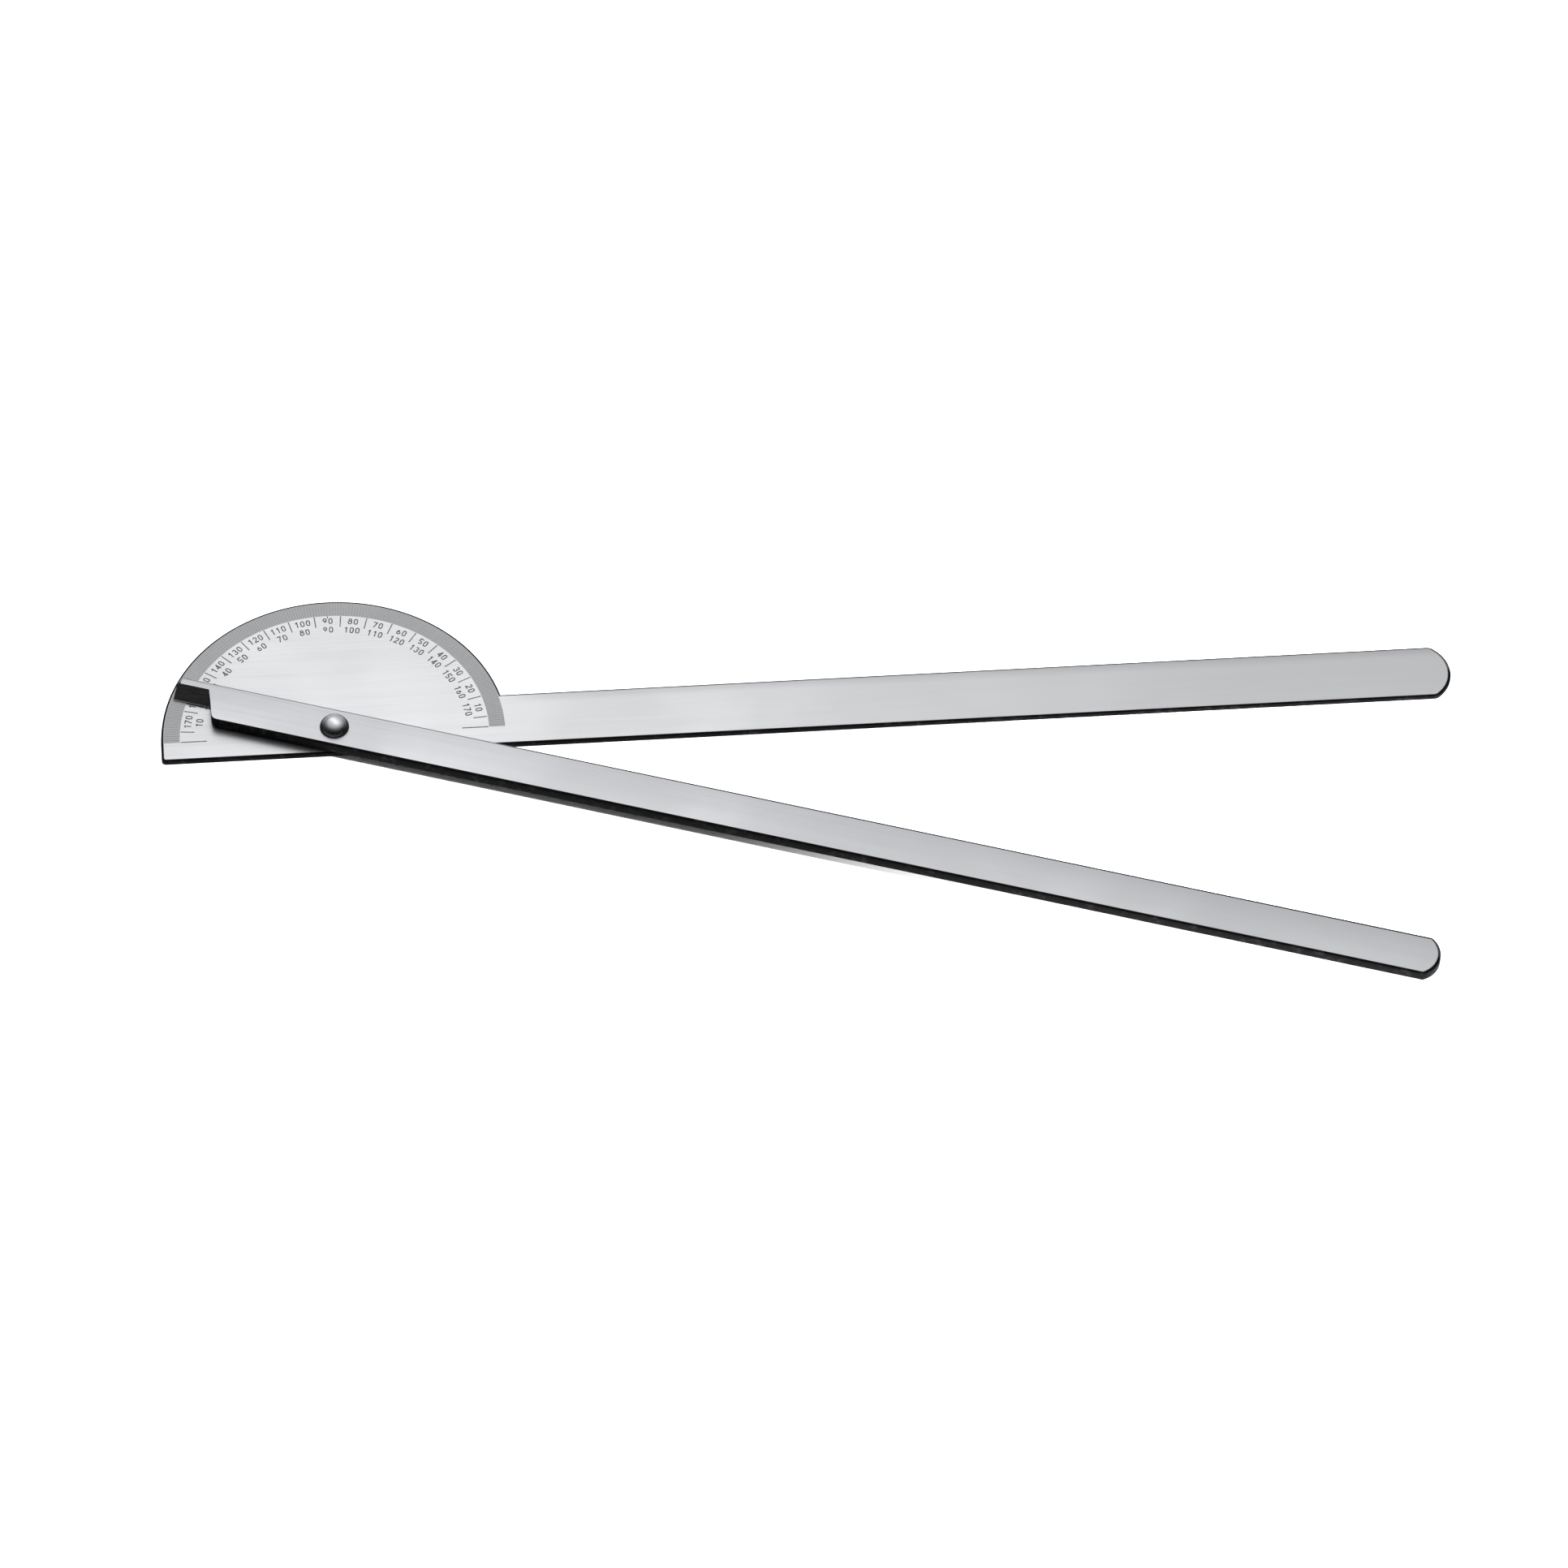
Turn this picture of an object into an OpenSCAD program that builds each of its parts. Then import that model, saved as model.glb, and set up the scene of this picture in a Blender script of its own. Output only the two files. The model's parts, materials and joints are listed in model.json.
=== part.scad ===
// Steel physiotherapy goniometer: a stamped scale blade, with a half-round head and a
// fixed arm, and a moving arm that turns above it on a round-headed shoulder rivet.
// Frame: pivot axis on Z, blade's back on Z = 0, the scale's zero line along +X.

/* [Scale blade] */
// Radius of the half-round head
head_r = 47.5; // [40:0.5:60]
// Thickness of the blade
blade_t = 1.5; // [1:0.1:2]
// Distance from the pivot to the tip of either arm
arm_reach = 309; // [150:1:320]
// Width of the fixed arm
fixed_arm_w = 17.5; // [15:0.5:20]
// Radius of the head's lower left corner
head_corner_r = 1.2; // [0.5:0.1:3]

/* [Moving arm] */
// Width of the moving arm
bar_w = 12.7; // [10:0.1:14]
// Thickness of the moving arm
bar_t = 3; // [2:0.1:3.2]
// Width of the sloped face that leads down to the reading edge
bevel_w = 3.8; // [2:0.1:5]
// Flat left standing along the reading edge
edge_land = 0.25; // [0.1:0.05:0.5]
// Distance from the pivot to the step where the full width begins
step_reach = 35.5; // [30:0.5:36]
// Slant of the step's wall, in degrees
step_slant = 20; // [0:1:25]
// Radius of the corner below the step
step_corner_r = 2; // [0.5:0.1:2.5]

/* [Pivot] */
// Diameter of the rivet's round head
rivet_head_d = 8.2; // [7:0.1:9]
// Height of the rivet's round head
rivet_head_h = 3.2; // [2:0.1:3.6]
// Diameter of the shoulder that the moving arm turns on
shoulder_d = 4.8; // [4.2:0.1:5]
// Diameter of the tenon that is set in the blade
tenon_d = 3.6; // [3:0.1:3.8]
// Diameter of the countersunk tail, flush with the blade's back
tail_d = 5.2; // [4.8:0.1:5.4]
// Height of the gap between the blade and the moving arm
arm_gap = 0.4; // [0.35:0.05:0.8]
// Outer diameter of the wave spring washer
washer_d = 10.4; // [9:0.1:11]

/* [Graduations] */
// Inner radius of the etched degree band
band_in_r = 42.4; // [36:0.1:43]
// Width of one degree line
fine_line_w = 0.22; // [0.15:0.01:0.3]
// Width of the lines that divide the numbers
divider_w = 0.3; // [0.2:0.01:0.4]
// Height of the numerals
digit_h = 2; // [1.6:0.1:2.2]

/* [Pose] */
// Angle between the two arms at rest
open_angle = 18.8; // [0:0.1:180]

/* [Hidden] */
$fn = 96;

eps = 0.01;
skirt = bar_w / 2;                         // head below the zero line
fixed_arm_top = fixed_arm_w - skirt;       // fixed arm above the zero line
fixed_arm_mid = (fixed_arm_top - skirt) / 2;
tip_ratio = 0.59;                          // tip radius over arm width
fixed_tip_corner_r = 2.5;
moving_tip_corner_r = 1;

arm_z = blade_t + arm_gap;                 // underside of the moving arm
arm_top = arm_z + bar_t;
pointer_r = head_r - 1.5;                  // the pointer ends over the degree band

turning_gap = 0.05;                        // running clearance round and over the arm
rivet_base = arm_top + turning_gap;        // underside of the rivet's head
tail_depth = (tail_d - tenon_d) / 2;       // a 90 degree countersink
dome_r = (pow(rivet_head_d / 2, 2) + pow(rivet_head_h, 2)) / (2 * rivet_head_h);

washer_strip = 0.2;                        // thickness of the washer's strip
washer_waves = 3;
washer_steps = 60;                         // rings round the washer
washer_in_r = shoulder_d / 2 + 0.2;
washer_clear = 0.02;                       // to the blade below and the arm above

band_out_r = head_r - 0.5;
band_t = 0.03;                             // thickness of the etched band's layer
line_t = 0.03;                             // thickness of the enamel in lines and digits
divider_in_r = band_in_r - 4;
baseline_in_r = band_in_r - 7.4;
mark_gap = 0.2;                            // between the band and the marks inside it
centre_mark_l = 0.7;                       // short line over the number 90
number_step = 10;                          // degrees from number to number
last_number = 170;
outer_row_r = band_in_r - 1.95;            // middle of the outer row of numbers
inner_row_r = outer_row_r - 3.1;
digit_w = 0.58 * digit_h;
digit_pitch = 0.8 * digit_h;
stroke_w = 0.15 * digit_h;
small_fn = 24;

steel = "lightsteelblue";
dark_steel = "slategray";
enamel = "black";
etched = "gray";

// ---- plan shapes -------------------------------------------------------------------

// A flat arm along +X from x = 0, with its middle on y = 0 and a crowned, round-cornered tip.
module arm_plan(reach, width, corner_r) {
    crown_r = tip_ratio * width;
    crown_x = reach - crown_r;
    corner_y = width / 2 - corner_r;
    corner_turn = asin(corner_y / (crown_r - corner_r));
    corner_x = crown_x + (crown_r - corner_r) * cos(corner_turn);
    far = 2 * crown_r;
    translate([0, -width / 2]) square([corner_x, width]);
    for (side = [-1, 1])
        translate([corner_x, side * corner_y]) circle(r = corner_r);
    intersection() {
        translate([crown_x, 0]) circle(r = crown_r);
        polygon([[crown_x, 0],
                 [crown_x + far * cos(corner_turn), -far * sin(corner_turn)],
                 [crown_x + far * cos(corner_turn), far * sin(corner_turn)]]);
    }
}

// The head: a half disc on the zero line, and a skirt below it with a rounded left corner.
module head_plan() {
    intersection() {
        circle(r = head_r);
        translate([-head_r, 0]) square([2 * head_r, head_r]);
    }
    translate([-head_r, -skirt + head_corner_r])
        square([head_r, skirt - head_corner_r]);
    translate([-head_r + head_corner_r, -skirt])
        square([head_r, skirt]);
    translate([-head_r + head_corner_r, -skirt + head_corner_r])
        circle(r = head_corner_r);
}

// ---- blade and arm ------------------------------------------------------------------

module scale_blade() {
    color(steel)
    difference() {
        linear_extrude(blade_t) {
            head_plan();
            translate([0, fixed_arm_mid])
                arm_plan(arm_reach, fixed_arm_w, fixed_tip_corner_r);
        }
        translate([0, 0, -1]) cylinder(d = tenon_d, h = blade_t + 2);
        translate([0, 0, -eps])
            cylinder(d1 = tail_d + 2 * eps, d2 = tenon_d, h = tail_depth + eps);
    }
}

// Full-width part of the moving arm behind the pivot, up to the slanted step, with a round
// corner where the step's wall meets the lower edge.
module heel_plan() {
    foot_x = -step_reach + skirt * tan(step_slant);
    corner_x = foot_x + step_corner_r * tan((90 - step_slant) / 2);
    corner_y = -skirt + step_corner_r;
    polygon([[corner_x, -skirt], [0, -skirt], [0, skirt],
             [-step_reach - skirt * tan(step_slant), skirt],
             [corner_x - step_corner_r * cos(step_slant),
              corner_y - step_corner_r * sin(step_slant)]]);
    translate([corner_x, corner_y]) circle(r = step_corner_r);
}

// The half-width pointer, ground down on its upper side to the reading edge. The reading
// edge lies on the arm's centre line, and the pointer ends in an arc round the pivot.
module pointer() {
    intersection() {
        cylinder(r = pointer_r, h = bar_t);
        rotate([90, 0, -90])
            linear_extrude(head_r)
                polygon([[0, 0], [-skirt, 0], [-skirt, bar_t], [-bevel_w, bar_t],
                         [0, edge_land]]);
    }
}

module moving_arm() {
    color(steel)
    rotate(-open_angle)
    translate([0, 0, arm_z])
    difference() {
        union() {
            linear_extrude(bar_t) {
                arm_plan(arm_reach, bar_w, moving_tip_corner_r);
                heel_plan();
            }
            pointer();
        }
        translate([0, 0, -1])
            cylinder(d = shoulder_d + 2 * turning_gap, h = bar_t + 2);
    }
}

// ---- pivot ----------------------------------------------------------------------------

// Round head, shoulder for the moving arm, tenon through the blade and countersunk tail.
module pivot_rivet() {
    color(dark_steel) {
        intersection() {
            translate([0, 0, rivet_base + rivet_head_h - dome_r]) sphere(r = dome_r);
            translate([0, 0, rivet_base]) cylinder(r = dome_r + 1, h = rivet_head_h + 1);
        }
        translate([0, 0, blade_t])
            cylinder(d = shoulder_d, h = rivet_base - blade_t + eps);
        cylinder(d = tenon_d, h = blade_t + eps);
        cylinder(d1 = tail_d, d2 = tenon_d, h = tail_depth);
    }
}

// A wavy ring of spring strip. Its rings of four corners follow a sine round the axis.
module wave_washer() {
    swing = (arm_gap - washer_strip) / 2 - washer_clear;
    mid_z = blade_t + arm_gap / 2;
    function corner(turn, r, up) =
        [r * cos(turn), r * sin(turn),
         mid_z + swing * sin(washer_waves * turn) + up * washer_strip / 2];
    points = [for (i = [0 : washer_steps - 1]) let (turn = 360 * i / washer_steps)
        each [corner(turn, washer_in_r, -1), corner(turn, washer_d / 2, -1),
              corner(turn, washer_d / 2, 1), corner(turn, washer_in_r, 1)]];
    faces = [for (i = [0 : washer_steps - 1], k = [0 : 3])
        let (a = 4 * i, b = 4 * ((i + 1) % washer_steps), n = (k + 1) % 4)
        each [[a + k, b + k, b + n], [a + k, b + n, a + n]]];
    color(dark_steel) polyhedron(points, faces);
}

// ---- graduations ------------------------------------------------------------------------

// The matt etched ring that carries the degree lines, ending square on the zero line.
module degree_band() {
    color(etched)
    translate([0, 0, blade_t])
    linear_extrude(band_t)
    intersection() {
        difference() {
            circle(r = band_out_r);
            circle(r = band_in_r);
        }
        translate([-head_r, 0]) square([2 * head_r, head_r]);
    }
}

// One enamel line along the radius at a scale angle.
module radial_line(turn, from_r, to_r, width, low_z) {
    rotate(turn)
    translate([from_r, -width / 2, low_z])
    cube([to_r - from_r, width, line_t]);
}

// A line for every degree, on top of the etched band.
module degree_lines() {
    color(enamel)
    for (turn = [1 : 179])
        radial_line(turn, band_in_r + mark_gap, band_out_r - mark_gap, fine_line_w,
                    blade_t + band_t);
}

// Lines at 5, 15, 25 ... 175 degrees, which stand between the numbers.
module divider_lines() {
    color(enamel)
    for (turn = [number_step / 2 : number_step : last_number + number_step / 2])
        radial_line(turn, divider_in_r, band_in_r - mark_gap, divider_w, blade_t);
}

// The two ends of the zero line, and the short centre mark over the number 90.
module baseline_marks() {
    color(enamel) {
        for (turn = [0, 180])
            radial_line(turn, baseline_in_r, band_in_r - mark_gap, divider_w, blade_t);
        radial_line(90, band_in_r - mark_gap - centre_mark_l, band_in_r - mark_gap,
                    divider_w, blade_t);
    }
}

// A straight stroke between two points of a digit's box.
module bar(from, to) {
    run = to - from;
    translate(from)
    rotate(atan2(run.y, run.x))
    translate([0, -stroke_w / 2])
    square([norm(run), stroke_w]);
}

// A round stroke about a point, from one angle round to a larger one.
module arc(at, r, start, stop) {
    steps = ceil((stop - start) / 15);
    turns = [for (i = [0 : steps]) start + (stop - start) * i / steps];
    outside = r + stroke_w / 2;
    inside = r - stroke_w / 2;
    translate(at)
    polygon(concat(
        [for (a = turns) [outside * cos(a), outside * sin(a)]],
        [for (i = [steps : -1 : 0]) [inside * cos(turns[i]), inside * sin(turns[i])]]));
}

module loop(at, r) {
    translate(at)
    difference() {
        circle(r = r + stroke_w / 2, $fn = small_fn);
        circle(r = r - stroke_w / 2, $fn = small_fn);
    }
}

// One digit, with its lower left corner at the origin.
module digit(value) {
    edge = stroke_w / 2;
    right = digit_w - edge;
    top = digit_h - edge;
    mid = digit_w / 2;
    bowl_r = mid - edge;
    low_y = edge + bowl_r;
    high_y = top - bowl_r;
    if (value == 0) {
        arc([mid, high_y], bowl_r, 0, 180);
        arc([mid, low_y], bowl_r, 180, 360);
        bar([edge, low_y], [edge, high_y]);
        bar([right, low_y], [right, high_y]);
    }
    if (value == 1) {
        bar([mid + edge, 0], [mid + edge, digit_h]);
        bar([mid + edge, top], [edge + 0.1 * digit_w, 0.72 * digit_h]);
    }
    if (value == 2) {
        arc([mid, high_y], bowl_r, -45, 170);
        bar([mid + bowl_r * cos(45), high_y - bowl_r * sin(45)], [edge, edge]);
        bar([0, edge], [digit_w, edge]);
    }
    if (value == 3) {
        upper_r = 0.9 * bowl_r;
        lower_r = (top - edge) / 2 - upper_r;
        arc([mid, top - upper_r], upper_r, -90, 160);
        arc([mid, edge + lower_r], lower_r, -160, 90);
    }
    if (value == 4) {
        foot_y = 0.28 * digit_h;
        stem_x = 0.72 * digit_w;
        bar([stem_x, 0], [stem_x, digit_h]);
        bar([stem_x, top], [edge, foot_y]);
        bar([0, foot_y], [digit_w, foot_y]);
    }
    if (value == 5) {
        bar([edge, top], [digit_w, top]);
        bar([edge, digit_h], [edge, low_y + 0.8 * bowl_r]);
        arc([mid, low_y], bowl_r, -150, 130);
    }
    if (value == 6) {
        tail_r = 2.2 * bowl_r;
        loop([mid, low_y], bowl_r);
        arc([edge + tail_r, low_y], tail_r, 115, 180);
    }
    if (value == 7) {
        bar([0, top], [digit_w, top]);
        bar([right, top], [0.3 * digit_w, 0]);
    }
    if (value == 8) {
        upper_r = 0.85 * bowl_r;
        lower_r = (top - edge) / 2 - upper_r;
        loop([mid, top - upper_r], upper_r);
        loop([mid, edge + lower_r], lower_r);
    }
    if (value == 9)
        translate([digit_w, digit_h]) rotate(180) digit(6);
}

// A whole number, with its middle at the origin.
module number_plan(value) {
    digits = value > 99 ? [1, floor(value / 10) % 10, 0] : [floor(value / 10), 0];
    count = len(digits);
    width = (count - 1) * digit_pitch + digit_w;
    for (i = [0 : count - 1])
        translate([i * digit_pitch - width / 2, -digit_h / 2]) digit(digits[i]);
}

// A row of numbers round the scale. It counts up to the left, or down if backwards.
module number_row(row_r, backwards) {
    color(enamel)
    translate([0, 0, blade_t])
    linear_extrude(line_t)
    for (turn = [number_step : number_step : last_number])
        rotate(turn - 90)
        translate([0, row_r])
        number_plan(backwards ? 180 - turn : turn);
}

module outer_numerals() {
    number_row(outer_row_r, false);
}

module inner_numerals() {
    number_row(inner_row_r, true);
}

scale_blade();
moving_arm();
pivot_rivet();
wave_washer();
degree_band();
degree_lines();
divider_lines();
baseline_marks();
outer_numerals();
inner_numerals();
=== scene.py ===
import json
import math

import bmesh
import bpy
from mathutils import Matrix, Vector


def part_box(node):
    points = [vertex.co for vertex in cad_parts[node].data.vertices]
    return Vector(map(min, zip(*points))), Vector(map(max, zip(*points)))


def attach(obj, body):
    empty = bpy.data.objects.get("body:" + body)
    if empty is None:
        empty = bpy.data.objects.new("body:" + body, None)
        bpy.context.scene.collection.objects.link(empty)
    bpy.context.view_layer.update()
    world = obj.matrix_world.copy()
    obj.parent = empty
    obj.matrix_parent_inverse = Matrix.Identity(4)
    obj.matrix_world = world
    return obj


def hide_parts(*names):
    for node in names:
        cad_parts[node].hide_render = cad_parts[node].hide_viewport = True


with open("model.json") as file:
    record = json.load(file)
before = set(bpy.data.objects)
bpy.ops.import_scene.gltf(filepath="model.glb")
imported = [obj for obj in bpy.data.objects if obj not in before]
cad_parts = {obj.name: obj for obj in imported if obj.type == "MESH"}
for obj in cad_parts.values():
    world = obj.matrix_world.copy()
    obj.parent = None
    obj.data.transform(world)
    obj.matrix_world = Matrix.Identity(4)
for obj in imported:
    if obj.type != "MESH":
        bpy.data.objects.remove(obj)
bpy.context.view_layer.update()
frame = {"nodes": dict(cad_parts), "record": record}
mm = 0.001
drillSteps = 96
print("frame loaded:", ", ".join(sorted(frame["nodes"])))


# sizes that come from the frame
bladeLow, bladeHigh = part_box("scale_blade")
armLow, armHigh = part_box("moving_arm")
_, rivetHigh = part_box("pivot_rivet")
washerLow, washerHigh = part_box("wave_washer")
bandLow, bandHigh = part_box("degree_band")

headRadius = -bladeLow.x
skirt = -bladeLow.y  # the blade's part below the zero line, as deep as half the moving arm
reach = bladeHigh.x
armMount = next(m for m in frame["record"]["mounts"] if m["name"] == "moving_arm_back")
armTurn = math.atan2(armMount["pos_m"][1], armMount["pos_m"][0])


def arcPoints(middle, radius, start, stop, step=3.0):
    # points round an arc with both ends; angles in degrees
    count = max(2, math.ceil(abs(stop - start) / step))
    turns = [math.radians(start + (stop - start) * i / count) for i in range(count + 1)]
    return [(middle[0] + radius * math.cos(a), middle[1] + radius * math.sin(a)) for a in turns]


def crownedTip(width, cornerRadius, crownRatio):
    # the end of an arm lying on y = 0, from its lower corner round to its upper one
    crownRadius = crownRatio * width
    crownX = reach - crownRadius
    cornerY = width / 2 - cornerRadius
    turn = math.degrees(math.asin(cornerY / (crownRadius - cornerRadius)))
    cornerX = crownX + (crownRadius - cornerRadius) * math.cos(math.radians(turn))
    points = arcPoints((cornerX, -cornerY), cornerRadius, -90, -turn, 7.5)
    points += arcPoints((crownX, 0), crownRadius, -turn, turn)[1:]
    points += arcPoints((cornerX, cornerY), cornerRadius, turn, 90, 7.5)[1:]
    return points


def tipShare(first, second, spec, tipStart):
    # the edge's rounding as a share of the tip's, growing round the tip
    near = max((min(first[0], second[0]) - tipStart) / (reach - tipStart), 0)
    plain = spec["edgeRound"] / spec["tipRound"]
    return plain + (1 - plain) * near


def meshObject(name, bm):
    mesh = bpy.data.meshes.new(name)
    bm.normal_update()
    bm.to_mesh(mesh)
    bm.free()
    made = bpy.data.objects.new(name, mesh)
    bpy.context.scene.collection.objects.link(made)
    return made


def applyModifiers(piece):
    seen = piece.evaluated_get(bpy.context.evaluated_depsgraph_get())
    piece.data = bpy.data.meshes.new_from_object(seen)
    piece.modifiers.clear()


def roundEdges(piece, width, segments=6):
    # rounds each edge by its own bevel weight, a share of width
    bevel = piece.modifiers.new("roundEdges", "BEVEL")
    bevel.width = width
    bevel.segments = segments
    bevel.limit_method = "WEIGHT"
    bevel.use_clamp_overlap = False
    applyModifiers(piece)


def settleEdges(piece, top, depth, share, start=-1.0):
    # lowers the rounding's depth to a share of it, so the face falls away gently towards its edge;
    # it fades in along X from start, which by default lies far behind the piece
    fadeLength = 5 * mm
    slack = 0.01 * mm
    for vert in piece.data.vertices:
        below = top - vert.co.z
        if below < depth + slack:
            grown = min(max((vert.co.x - start) / fadeLength, 0), 1)
            vert.co.z = top - below * (1 + (share - 1) * grown)


def cutAway(piece, cutter):
    cut = piece.modifiers.new("cutAway", "BOOLEAN")
    cut.operation = "DIFFERENCE"
    cut.solver = "EXACT"
    cut.object = cutter
    applyModifiers(piece)
    bpy.data.objects.remove(cutter)


def smoothFaces(piece, sharpAngle=30):
    # level faces stay flat and round ones shade smoothly
    mesh = piece.data
    mesh.set_sharp_from_angle(angle=math.radians(sharpAngle))
    level = 0.99999
    mesh.polygons.foreach_set("use_smooth", [abs(face.normal.z) < level for face in mesh.polygons])


def lathe(name, profile, steps):
    # turns a closed profile of (radius, height) points about Z
    bm = bmesh.new()
    turns = [math.tau * i / steps for i in range(steps)]
    rings = []
    for radius, height in profile:
        if radius == 0:
            ring = [bm.verts.new((0, 0, height))] * steps
        else:
            ring = [bm.verts.new((radius * math.cos(a), radius * math.sin(a), height)) for a in turns]
        rings.append(ring)
    for here, after in zip(rings, rings[1:] + rings[:1]):
        for i in range(steps):
            corners = [here[i], here[(i + 1) % steps], after[(i + 1) % steps], after[i]]
            face = list(dict.fromkeys(corners))
            if len(face) > 2:
                bm.faces.new(face)
    bmesh.ops.recalc_face_normals(bm, faces=bm.faces)
    return meshObject(name, bm)


def addNode(tree, kind, place, **settings):
    made = tree.nodes.new(kind)
    made.location = place
    for key, value in settings.items():
        setattr(made, key, value)
    return made


def newGroup(name, inputs, outputs):
    tree = bpy.data.node_groups.new(name, "ShaderNodeTree")
    for label, kind, value in inputs:
        socket = tree.interface.new_socket(label, in_out="INPUT", socket_type=kind)
        if value is not None:
            socket.default_value = value
    for label, kind in outputs:
        tree.interface.new_socket(label, in_out="OUTPUT", socket_type=kind)
    inside = addNode(tree, "NodeGroupInput", (-900, 0))
    outside = addNode(tree, "NodeGroupOutput", (700, 0))
    return tree, inside, outside


def placeGroup(tree, group, place, **values):
    made = addNode(tree, "ShaderNodeGroup", place, node_tree=group)
    for label, value in values.items():
        made.inputs[label.replace("_", " ")].default_value = value
    return made


def feedSocket(tree, socket, value):
    # value is a colour, a number or another node's output
    if isinstance(value, tuple):
        socket.default_value = (*value, 1.0)
    elif isinstance(value, (int, float)):
        socket.default_value = value
    else:
        tree.links.new(value, socket)


def mathNode(tree, operation, place, *values):
    made = addNode(tree, "ShaderNodeMath", place, operation=operation)
    for socket, value in zip(made.inputs, values):
        feedSocket(tree, socket, value)
    return made.outputs[0]


def mapRange(tree, value, place, fromLow, fromHigh, toLow=0.0, toHigh=1.0):
    made = addNode(tree, "ShaderNodeMapRange", place, interpolation_type="SMOOTHSTEP")
    settings = {"Value": value, "From Min": fromLow, "From Max": fromHigh, "To Min": toLow, "To Max": toHigh}
    for label, setting in settings.items():
        feedSocket(tree, made.inputs[label], setting)
    return made.outputs["Result"]


def mixColor(tree, place, factor, first, second):
    made = addNode(tree, "ShaderNodeMix", place, data_type="RGBA")
    for index, value in ((0, factor), (6, first), (7, second)):
        feedSocket(tree, made.inputs[index], value)
    return made.outputs[2]


def mixValue(tree, place, factor, first, second):
    made = addNode(tree, "ShaderNodeMix", place, data_type="FLOAT")
    for index, value in ((0, factor), (2, first), (3, second)):
        feedSocket(tree, made.inputs[index], value)
    return made.outputs[0]


def noiseNode(tree, vector, place, scale, detail=2.0, roughness=0.5, distortion=0.0):
    made = addNode(tree, "ShaderNodeTexNoise", place)
    settings = {"Vector": vector, "Scale": scale, "Detail": detail, "Roughness": roughness,
                "Distortion": distortion}
    for label, setting in settings.items():
        feedSocket(tree, made.inputs[label], setting)
    return made.outputs["Fac"]


def newMaterial(name):
    made = bpy.data.materials.new(name)
    made.use_nodes = True
    tree = made.node_tree
    shader = tree.nodes["Principled BSDF"]
    coords = addNode(tree, "ShaderNodeTexCoord", (-1500, 0))
    return made, tree, shader, coords.outputs["Object"]


def addBump(tree, shader, height, distance):
    bump = addNode(tree, "ShaderNodeBump", (-250, -450))
    bump.inputs["Strength"].default_value = 1.0
    bump.inputs["Distance"].default_value = distance
    tree.links.new(height, bump.inputs["Height"])
    tree.links.new(bump.outputs["Normal"], shader.inputs["Normal"])


def buildBrushGrain():
    # abrasive lines along X: fine ones, and the wider streaks of the belt
    tree, inside, outside = newGroup(
        "brushGrain",
        [("Vector", "NodeSocketVector", None), ("Line Length", "NodeSocketFloat", 30 * mm),
         ("Line Width", "NodeSocketFloat", 0.12 * mm), ("Streak Width", "NodeSocketFloat", 1.6 * mm)],
        [("Lines", "NodeSocketFloat"), ("Streaks", "NodeSocketFloat")])
    alongScale = mathNode(tree, "DIVIDE", (-700, -150), 1.0, inside.outputs["Line Length"])
    for label, width, row, detail in (("Lines", "Line Width", 200, 3.0),
                                      ("Streaks", "Streak Width", -300, 2.0)):
        acrossScale = mathNode(tree, "DIVIDE", (-700, row), 1.0, inside.outputs[width])
        scales = addNode(tree, "ShaderNodeCombineXYZ", (-500, row))
        tree.links.new(alongScale, scales.inputs["X"])
        tree.links.new(acrossScale, scales.inputs["Y"])
        tree.links.new(acrossScale, scales.inputs["Z"])
        stretched = addNode(tree, "ShaderNodeVectorMath", (-300, row), operation="MULTIPLY")
        tree.links.new(inside.outputs["Vector"], stretched.inputs[0])
        tree.links.new(scales.outputs[0], stretched.inputs[1])
        lines = noiseNode(tree, stretched.outputs[0], (-100, row), 1.0, detail, 0.6)
        tree.links.new(mapRange(tree, lines, (150, row), 0.3, 0.7), outside.inputs[label])
    return tree


scratchShape = {
    "turn": -9,  # degrees off the piece's length
    "stretch": (14, 520, 520),  # long along the piece and close together across it
    "hairWidth": 0.006,
    "presence": (0.6, 0.7),  # only where the slow noise is above this
}


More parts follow.
